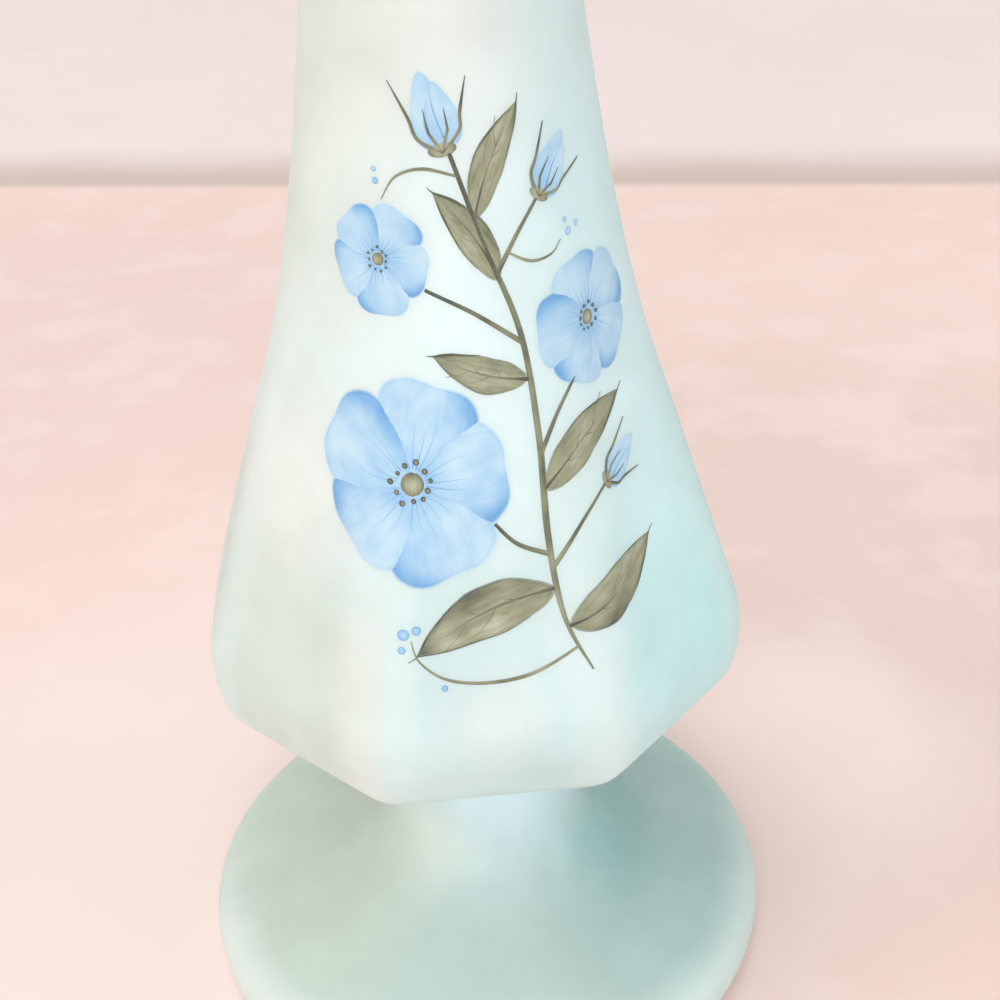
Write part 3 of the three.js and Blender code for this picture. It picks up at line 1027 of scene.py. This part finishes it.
def layStamens(paint, place, reach, turn):
    lift = enamel["lift"]
    size = stamens["disc"] * reach
    layDot(paint, place, size, stamens["discTone"], lift + stamens["discLift"])
    for angle in fullTurn(stamens["dots"]):
        angle += turn
        far = size * brush.uniform(*stamens["dotsOut"])
        radius = stamens["dotSize"] * reach * brush.uniform(*stamens["dotSpread"])
        layDot(paint, (place[0] + far * math.sin(angle), place[1] + far * math.cos(angle)), radius,
               stamens["dotTone"], lift + stamens["dotLift"])


def makeSprig():
    paint = newPaint()
    lift = enamel["lift"]
    for leaf in foliage["leaves"]:
        layLeaf(paint, *leaf, lift)
    for stalk in foliage["stalks"]:
        layLine(paint, stalk, foliage["stalkStroke"], lift)
    for tendril, width in foliage["tendrils"]:
        layLine(paint, tendril, foliage["tendrilStroke"], lift, width)
    layLine(paint, foliage["mainStem"], foliage["mainStroke"], lift)
    for bud in spray["buds"].values():
        layCalyx(paint, *bud)
    for place, reach, turn, _ in spray["blossoms"].values():
        layStamens(paint, place, reach, turn)
    finishPaint(paint, "sprig", oliveEnamel, "olive_enamel")


# the two paints, with colours from a thin wash to a pooled stroke
paints = dict(
    blue=dict(
        colours=[(0, srgb(188, 217, 233)), (0.35, srgb(160, 199, 228)),
                 (0.7, srgb(134, 182, 222)), (1, srgb(104, 160, 212))],
        streakDepth=0.06,
        thinning=0.8,  # how far its edge thins out to the glass
    ),
    olive=dict(
        colours=[(0, srgb(190, 194, 172)), (0.4, srgb(152, 154, 126)),
                 (0.7, srgb(124, 127, 100)), (1, srgb(78, 82, 68))],
        streakDepth=0.15,
        thinning=0.25,
    ),
    # the brush's hairs, and the flow of the paint: stretch and noise
    hairs=((3.2, 0.3, 1), (1, 3, 0.6)),
    flow=((0.45, 0.3, 1), (1, 2, 0.5)),
    hairSpan=(0.25, 0.75),
    flowDepth=0.16,
    pooled=(0.86, 0.95, 0, 0.16),  # paint gathers towards the edge of a wash
    thinFrom=(0.92, 1),
    roughness=(0.42, 0.55),
    sockets={"IOR": 1.5},
    hairRelief=(0.00003, 0.5),
    grain=((2200, 2, 0.6), 0.00001, 0.3),
)


def makeEnamel(name, paintLook):
    material, tree, shader, place = newMaterial(name)
    stroke, rim, tone = painted(tree, "stroke", "Vector"), painted(tree, "rim"), painted(tree, "tone")
    hairs, flow = (noiseNode(tree, stretched(tree, stroke, paints[key][0]), *paints[key][1])
                   for key in ("hairs", "flow"))
    streak, flowDepth = paintLook["streakDepth"], paints["flowDepth"]
    share = mathNode(tree, "ADD", tone, rangeNode(tree, hairs, *paints["hairSpan"], -streak, streak, False))
    share = mathNode(tree, "ADD", share, rangeNode(tree, flow, *noiseSpan, -flowDepth, flowDepth, False))
    share = mathNode(tree, "ADD", share, rangeNode(tree, rim, *paints["pooled"]), clamp=True)
    ramp = addNode(tree, "ShaderNodeValToRGB", share)
    elements = ramp.color_ramp.elements
    while len(elements) < len(paintLook["colours"]):
        elements.new(1)
    for element, (position, colour) in zip(elements, paintLook["colours"]):
        element.position, element.color = position, colour
    feather = rangeNode(tree, rim, *paints["thinFrom"], 0, paintLook["thinning"])
    colour = mixColour(tree, feather, ramp.outputs["Color"], glassColour(tree, place))
    noise, *relief = paints["grain"]
    layers = [(hairs, *paints["hairRelief"]), (noiseNode(tree, place, *noise), *relief)]
    linkSurface(tree, shader, colour, hairs, paints["roughness"], layers)
    setUp(shader, paints["sockets"])
    return material


blueEnamel = makeEnamel("blueEnamel", paints["blue"])
oliveEnamel = makeEnamel("oliveEnamel", paints["olive"])
makeSprig()
for name, settings in spray["blossoms"].items():
    makeBlossom(name, *settings)
for name, settings in spray["buds"].items():
    makeBud(name, *settings)
print("painted spray made")


# stage: a pale table, and soft light
stage = dict(
    size=6,
    table=srgb(246, 221, 213),
    blush=srgb(250, 211, 200),  # pinker patches in the table's colour
    shade=srgb(214, 196, 187),  # the band where the table ends
    far=srgb(247, 232, 230),
    backdrop=srgb(242, 228, 225),
    edge=(0.187, 0.982, 0.31),  # the line x * 0.187 + y * 0.982 = 0.31 m ends the table
    edgeShade=(-0.006, 0.002),  # from this line, as are the next two
    edgeFar=(0.006, 0.045),
    edgeBlotches=(0, 0.04),
    # broad patches of another tone: colour, middle, reach; the darker one to the right behind the vase is
    # painted shade, and the small pale one beside the foot is painted light
    patches=[
        (srgb(247, 228, 222), (-0.06, 0.01, 0), 0.1),
        (srgb(236, 212, 204), (0.085, 0.08, 0), 0.13),
        (srgb(239, 214, 207), (-0.12, 0.21, 0), 0.15),
        (srgb(253, 231, 222), (0.053, 0.025, 0), 0.038),
    ],
    patchCore=0.3,  # share of the reach in which a patch is full
    mottle=srgb(250, 230, 223),
    # noise and fade of the table's clouding, of its finer mottling, and of the blotches behind it
    blushNoise=((9, 3, 0.5), (0.35, 0.65, 0, 0.4)),
    mottleNoise=((34, 3, 0.55), (0.46, 0.62, 0, 0.42)),
    blotchNoise=((16, 3, 0.6), (0.42, 0.6, 0, 0.55)),
    grain=((900, 2, 0.5), 0.00005, 0.3),
    roughness=(0.62, 0.8),
    runOut=(0.45, 1),  # the table turns into the backdrop this far from the vase
    dome=dict(Color=(1, 0.94, 0.9, 1), Strength=0.52),
    aim=(0, 0, 0.08),
    # place, size, power, colour
    lamps=dict(
        topLight=((-0.7, -0.2, 2.4), 1.8, 24.5, (0.97, 0.99, 1)),
        frontLight=((-0.3, -2.4, 1), 1.8, 28.4, (0.88, 0.96, 1)),
        leftLight=((-2.3, -0.6, 0.9), 1.6, 8.8, (1, 0.9, 0.84)),
        rightLight=((2.3, -0.7, 0.9), 1.6, 12.3, (0.68, 0.92, 1)),
    ),
)


def tableColour(tree, place, cloud):
    x, y, _ = separated(tree, place)
    across, back, edge = stage["edge"]
    reach = mathNode(tree, "MULTIPLY_ADD", y, back, mathNode(tree, "MULTIPLY", x, across))

    def noiseFade(key):
        noise, fade = stage[key]
        return rangeNode(tree, noiseNode(tree, place, *noise), *fade)

    def beyond(key):
        near, far = stage[key]
        return rangeNode(tree, reach, edge + near, edge + far)

    tone = mixColour(tree, rangeNode(tree, cloud, *stage["blushNoise"][1]), stage["table"], stage["blush"])
    for patchTone, middle, far in stage["patches"]:
        tone = mixColour(tree, nearness(tree, place, middle, far, stage["patchCore"] * far), tone, patchTone)
    tone = mixColour(tree, noiseFade("mottleNoise"), tone, stage["mottle"])
    tone = mixColour(tree, beyond("edgeShade"), tone, stage["shade"])
    tone = mixColour(tree, beyond("edgeFar"), tone, stage["far"])
    blotches = mathNode(tree, "MULTIPLY", noiseFade("blotchNoise"), beyond("edgeBlotches"))
    return mixColour(tree, blotches, tone, stage["backdrop"])


def makeStage():
    data = bpy.data.meshes.new("table")
    size = stage["size"]
    corners = [(-size, -size, 0), (size, -size, 0), (size, size, 0), (-size, size, 0)]
    data.from_pydata(corners, [], [(0, 1, 2, 3)])
    table = newObject("table", data)
    material, tree, shader, place = newMaterial("tableTop")
    cloud = noiseNode(tree, place, *stage["blushNoise"][0])
    noise, *relief = stage["grain"]
    layers = [(noiseNode(tree, place, *noise), *relief)]
    linkSurface(tree, shader, tableColour(tree, place, cloud), cloud, stage["roughness"], layers)
    # far from the vase the table runs into the backdrop without a horizon
    glow = addNode(tree, "ShaderNodeEmission", Color=stage["backdrop"])
    away = rangeNode(tree, vectorNode(tree, "LENGTH", place)["Value"], *stage["runOut"])
    blendShaders(tree, away, shader.outputs[0], glow.outputs[0], "Material Output")
    data.materials.append(material)


def makeLamp(name, place, size, power, colour):
    light = bpy.data.lights.new(name, "AREA")
    light.size, light.energy, light.color = size, power, colour
    lamp = newObject(name, light)
    lamp.location = place
    lamp.rotation_mode = "QUATERNION"
    lamp.rotation_quaternion = (Vector(stage["aim"]) - Vector(place)).to_track_quat("-Z", "Y")


def makeLight():
    for name, settings in stage["lamps"].items():
        makeLamp(name, *settings)
    world = bpy.data.worlds.new("softDome")
    bpy.context.scene.world = world
    world.use_nodes = True
    tree = world.node_tree
    background = tree.nodes["Background"]
    setUp(background, stage["dome"])
    # the camera and the gloss see the pale backdrop, and the dome only lights
    seen = addNode(tree, "ShaderNodeBackground", Color=stage["backdrop"])
    ray = addNode(tree, "ShaderNodeLightPath").outputs
    seeing = mathNode(tree, "MAXIMUM", ray["Is Camera Ray"], ray["Is Glossy Ray"])
    seeing = mathNode(tree, "MAXIMUM", seeing, ray["Is Transmission Ray"])
    blendShaders(tree, seeing, background.outputs[0], seen.outputs[0], "World Output")
    bpy.context.scene.view_settings.view_transform = "Standard"


makeStage()
makeLight()
print("stage and light made")
